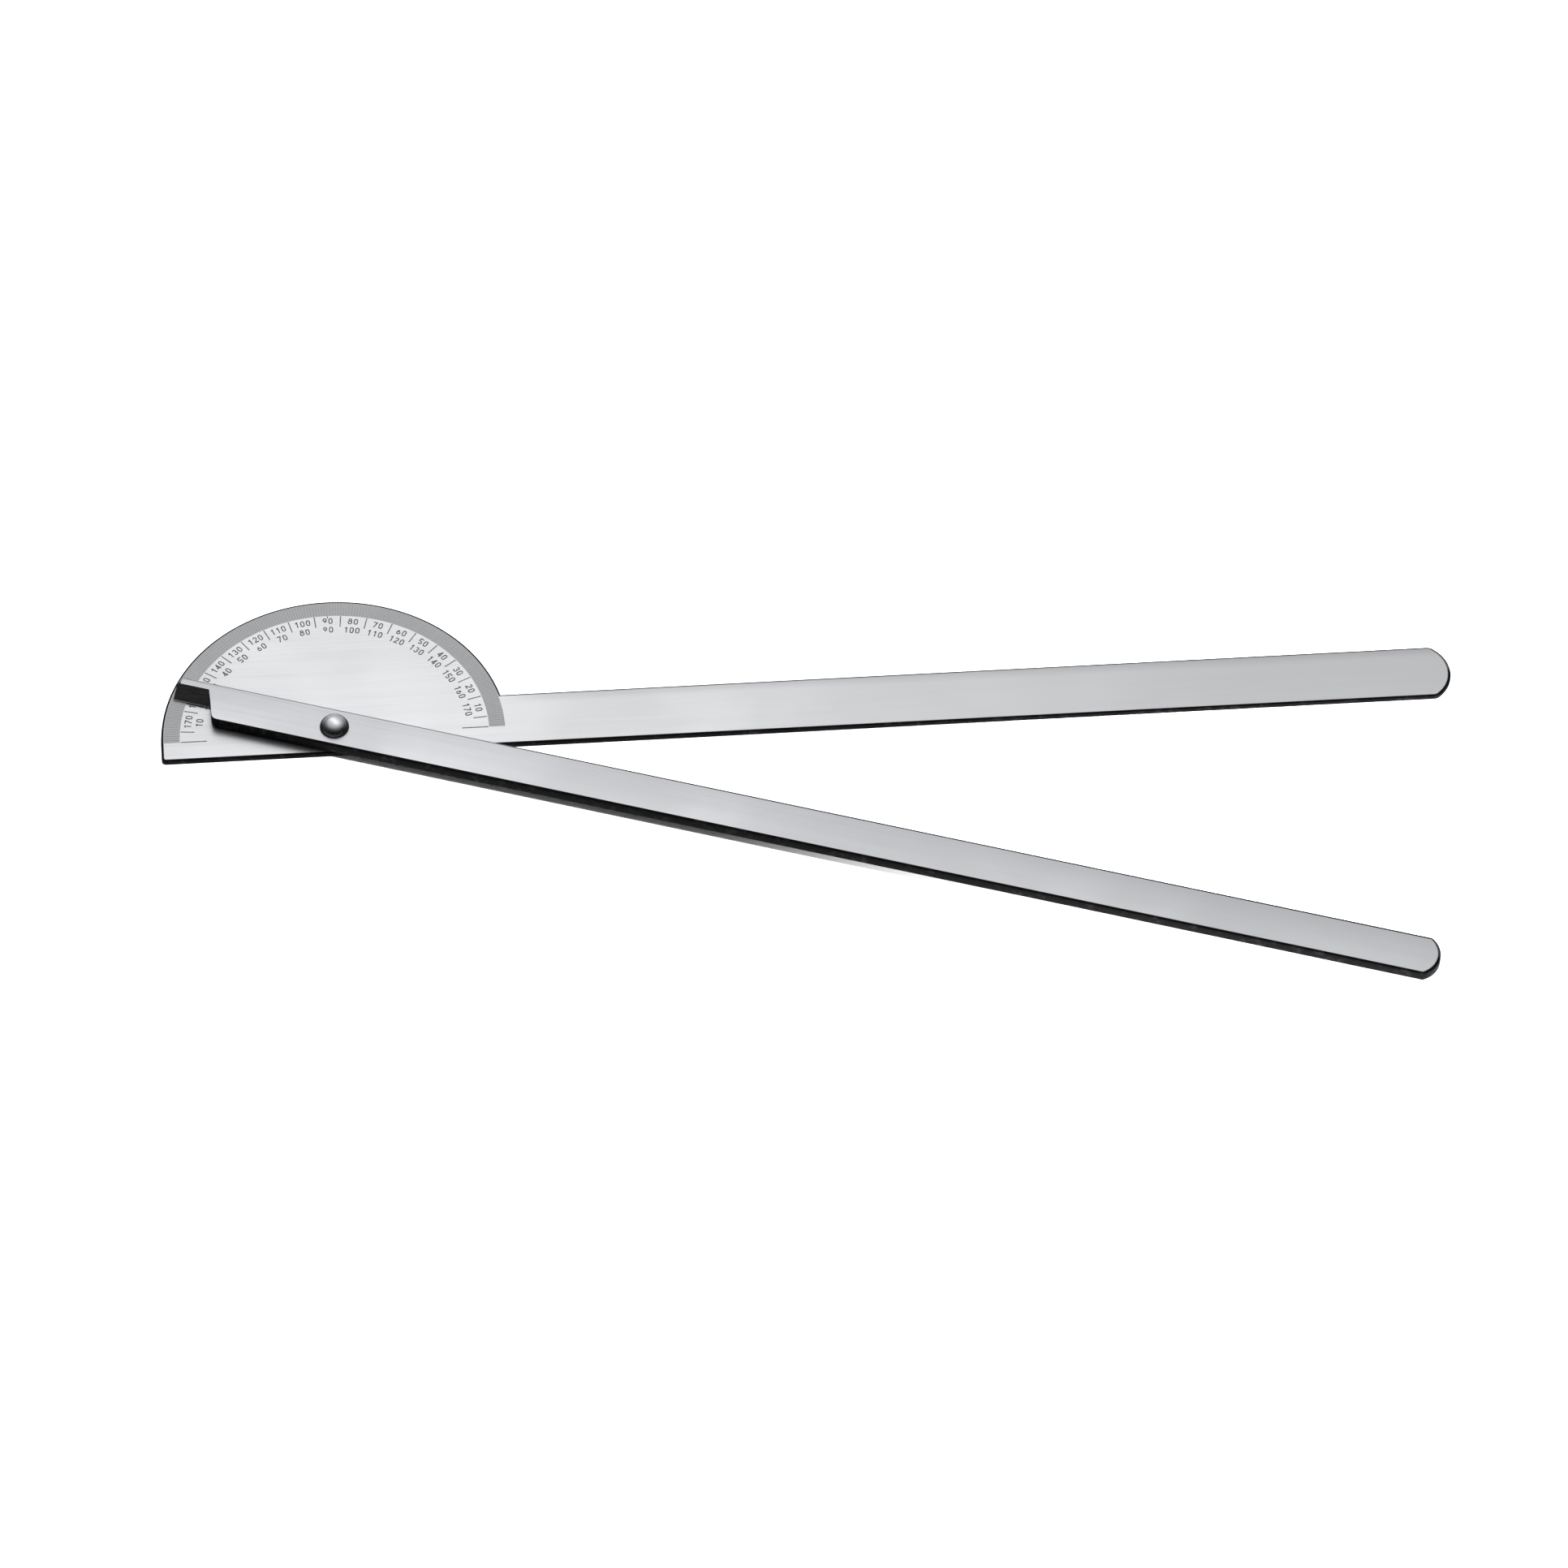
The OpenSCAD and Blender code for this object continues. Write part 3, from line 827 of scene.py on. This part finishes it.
def buildRivet(spec):
    # profile from the top of the head down to the middle of the tail
    base = armHigh.z + spec["headClearance"]
    height = rivetHigh.z - base
    domeRadius = (rivetHigh.x ** 2 + height ** 2) / (2 * height)
    domeMiddle = rivetHigh.z - domeRadius
    rim = spec["rimRound"]
    rimAngle = math.asin((base + rim - domeMiddle) / (domeRadius - rim))
    rimMiddle = ((domeRadius - rim) * math.cos(rimAngle), base + rim)
    dome = arcPoints((0, domeMiddle), domeRadius, 90, math.degrees(rimAngle), 4)
    rimArc = arcPoints(rimMiddle, rim, math.degrees(rimAngle), -90, 15)
    profile = [(0, rivetHigh.z)] + dome[1:] + rimArc[1:]
    tail = spec["tail"]
    profile += [(spec["shoulder"], base), (spec["shoulder"], bladeHigh.z), (spec["tenon"], bladeHigh.z),
                (spec["tenon"], tail - spec["tenon"]), (tail, spec["tailBreak"]),
                (tail - spec["tailBreak"], 0), (tail * spec["peenMouth"], 0),
                (tail * spec["peenFloor"], spec["peenDepth"]), (0, spec["peenDepth"] * spec["peenCentre"])]
    rivet = lathe("pivotRivet", profile, spec["steps"])
    smoothFaces(rivet, 35)
    rivet.data.materials.append(rivetSteel)
    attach(rivet, "blade")
    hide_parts("pivot_rivet")
    return rivet


pivotRivet = buildRivet(rivetPiece)
print("pivot rivet:", len(pivotRivet.data.polygons), "faces")


washerPiece = {
    "inner": 2.6 * mm,
    "strip": 0.2 * mm,
    "edgeBreak": 0.03 * mm,
    "waves": 3,
    "steps": 144,
}


def buildWasher(spec):
    # a flat strip ring with broken edges, waved up and down round the rivet's shoulder
    outer = washerHigh.x
    middle = (washerLow.z + washerHigh.z) / 2
    half = spec["strip"] / 2
    swing = (washerHigh.z - washerLow.z) / 2 - half
    edge = spec["edgeBreak"]
    inner = spec["inner"]
    section = [(inner + edge, -half), (outer - edge, -half), (outer, -half + edge), (outer, half - edge),
               (outer - edge, half), (inner + edge, half), (inner, half - edge), (inner, -half + edge)]
    bm = bmesh.new()
    rings = []
    for i in range(spec["steps"]):
        turn = math.tau * i / spec["steps"]
        lift = middle + swing * math.sin(spec["waves"] * turn)
        rings.append([bm.verts.new((r * math.cos(turn), r * math.sin(turn), lift + z)) for r, z in section])
    for here, after in zip(rings, rings[1:] + rings[:1]):
        for k in range(len(section)):
            n = (k + 1) % len(section)
            bm.faces.new([here[k], after[k], after[n], here[n]])
    bmesh.ops.recalc_face_normals(bm, faces=bm.faces)
    washer = meshObject("waveWasher", bm)
    smoothFaces(washer, 40)
    washer.data.materials.append(springSteel)
    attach(washer, "blade")
    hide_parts("wave_washer")
    return washer


waveWasher = buildWasher(washerPiece)
print("wave washer:", len(waveWasher.data.polygons), "faces")


bandPiece = {
    "inner": 42.4 * mm,
    "rimGap": 0.22 * mm,
    "step": 1.0,
}


def buildBand(spec):
    # half ring of the etched surface, ending square on the zero line
    outer = -bandLow.x - spec["rimGap"]
    low, high = bandLow.z, bandHigh.z
    bm = bmesh.new()
    rings = []
    outside = arcPoints((0, 0), outer, 0, 180, spec["step"])
    inside = arcPoints((0, 0), spec["inner"], 0, 180, spec["step"])
    for (ox, oy), (ix, iy) in zip(outside, inside):
        corners = ((ix, iy, low), (ox, oy, low), (ox, oy, high), (ix, iy, high))
        rings.append([bm.verts.new(corner) for corner in corners])
    for here, after in zip(rings, rings[1:]):
        for k in range(4):
            n = (k + 1) % 4
            bm.faces.new([here[k], after[k], after[n], here[n]])
    bm.faces.new(rings[0])
    bm.faces.new(rings[-1])
    bmesh.ops.recalc_face_normals(bm, faces=bm.faces)
    band = meshObject("degreeBand", bm)
    band.data.materials.append(etchedBand)
    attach(band, "blade")
    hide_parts("degree_band")
    return band


degreeBand = buildBand(bandPiece)
markFinish = {
    "degree_lines": degreeEnamel,
    "divider_lines": lineEnamel,
    "baseline_marks": lineEnamel,
    "outer_numerals": numberEnamel,
    "inner_numerals": numberEnamel,
}
for node, finish in markFinish.items():
    marks = frame["nodes"][node]
    marks.data.materials.clear()
    marks.data.materials.append(finish)
print("degree band and", len(markFinish), "sets of marks finished")


studio = {
    "floorRadius": 4.0,
    "floorDrop": 0.1 * mm,
    "floorColor": (0.55, 0.55, 0.55),
    "floorRoughness": 0.9,
    "lightFrom": (0.1, 0.35, 0.93),
    "lightColor": (0.98, 0.99, 1.0),
    "brightSide": 0.8,
    "dimSide": 0.05,
    "fade": (0.3, 0.8),
}


def buildFloor(spec):
    bm = bmesh.new()
    bmesh.ops.create_circle(bm, cap_ends=True, radius=spec["floorRadius"], segments=128)
    bmesh.ops.translate(bm, verts=bm.verts, vec=(0, 0, -spec["floorDrop"]))
    floor = meshObject("floor", bm)
    made, _, shader, _ = newMaterial("paleFloor")
    shader.inputs["Base Color"].default_value = (*spec["floorColor"], 1)
    shader.inputs["Roughness"].default_value = spec["floorRoughness"]
    shader.inputs["Specular IOR Level"].default_value = 0.0
    floor.data.materials.append(made)
    return floor


def buildWorld(spec):
    # a soft sky that is bright above and behind, and dim in front
    world = bpy.data.worlds.new("softStudio")
    world.use_nodes = True
    tree = world.node_tree
    light = tree.nodes["Background"]
    coords = addNode(tree, "ShaderNodeTexCoord", (-900, 0))
    towards = addNode(tree, "ShaderNodeVectorMath", (-700, 0), operation="DOT_PRODUCT")
    tree.links.new(coords.outputs["Generated"], towards.inputs[0])
    towards.inputs[1].default_value = Vector(spec["lightFrom"]).normalized()
    glow = mapRange(tree, towards.outputs["Value"], (-450, 0), *spec["fade"], spec["dimSide"],
                    spec["brightSide"])
    tree.links.new(glow, light.inputs["Strength"])
    light.inputs["Color"].default_value = (*spec["lightColor"], 1)
    bpy.context.scene.world = world


softboxes = {
    "overheadSoftbox": {
        "place": (0.2, 0.26, 1.0),
        "aim": (0.0, 0.0, 0.0),
        "size": (1.0, 0.8),
        "glow": 0.9,
        "spread": 180,
    },
    "backSoftbox": {
        "place": (-0.08, 0.47, 0.56),
        "aim": (0.0, 0.0, 0.0),
        "size": (0.54, 0.56),
        "glow": 0.72,
        "spread": 180,
    },
    "floorWash": {
        "place": (0.13, 0.0, 1.8),
        "aim": (0.13, 0.0, 0.0),
        "size": (0.22, 0.22),
        "glow": 830.0,
        "spread": 180,
    },
    "tipWash": {
        "place": (0.28, -0.08, 0.14),
        "aim": (0.28, -0.08, 0.0),
        "size": (0.24, 0.24),
        "glow": 5.2,
        "spread": 60,
    },
}


def buildSoftbox(name, spec):
    # glow is how bright the box looks in a mirror, where its light spreads all round
    light = bpy.data.lights.new(name, "AREA")
    light.shape = "ELLIPSE"
    light.size, light.size_y = spec["size"]
    light.spread = math.radians(spec["spread"])
    light.energy = spec["glow"] * math.pi * light.size * light.size_y * math.pi / 4
    made = bpy.data.objects.new(name, light)
    made.location = spec["place"]
    toAim = Vector(spec["aim"]) - Vector(spec["place"])
    made.rotation_mode = "QUATERNION"
    made.rotation_quaternion = toAim.to_track_quat("-Z", "Y")
    bpy.context.scene.collection.objects.link(made)
    return made


cameraSet = {
    "lens": 192.2,
    "sensor": 36.0,
    "azimuth": -6.114,
    "elevation": 51.41,
    "roll": 1.8,
    "distance": 2.2892,
    "aim": (0.12165, -0.02428, 0.0),
}


def buildCamera(spec):
    data = bpy.data.cameras.new("camera")
    data.lens = spec["lens"]
    data.sensor_width = spec["sensor"]
    data.clip_start = 0.1
    data.clip_end = 20
    azimuth = math.radians(spec["azimuth"])
    elevation = math.radians(spec["elevation"])
    roll = math.radians(spec["roll"])
    back = Vector((math.sin(azimuth) * math.cos(elevation), -math.cos(azimuth) * math.cos(elevation),
                   math.sin(elevation)))
    right = (-back).cross(Vector((0, 0, 1))).normalized()
    up = right.cross(-back)
    rolledRight = right * math.cos(roll) + up * math.sin(roll)
    rolledUp = up * math.cos(roll) - right * math.sin(roll)
    camera = bpy.data.objects.new("camera", data)
    axes = Matrix((rolledRight, rolledUp, back)).transposed()
    camera.matrix_world = Matrix.Translation(Vector(spec["aim"]) + back * spec["distance"]) @ axes.to_4x4()
    bpy.context.scene.collection.objects.link(camera)
    bpy.context.scene.camera = camera


floor = buildFloor(studio)
buildWorld(studio)
lights = {name: buildSoftbox(name, spec) for name, spec in softboxes.items()}
# the washes fall on the floor alone, and the softboxes on everything else
floorOnly = bpy.data.collections.new("floorOnly")
floorOnly.objects.link(floor)
allButFloor = bpy.data.collections.new("allButFloor")
allButFloor.objects.link(floor)
allButFloor.collection_objects[0].light_linking.link_state = "EXCLUDE"
for wash in ("floorWash", "tipWash"):
    lights[wash].light_linking.receiver_collection = floorOnly
for softbox in ("overheadSoftbox", "backSoftbox"):
    lights[softbox].light_linking.receiver_collection = allButFloor
lights["tipWash"].light_linking.blocker_collection = floorOnly  # so it lifts the shadow under the tips
lights["tipWash"].visible_camera = False
buildCamera(cameraSet)
bpy.context.scene.view_settings.view_transform = "Standard"
print("studio and camera set")
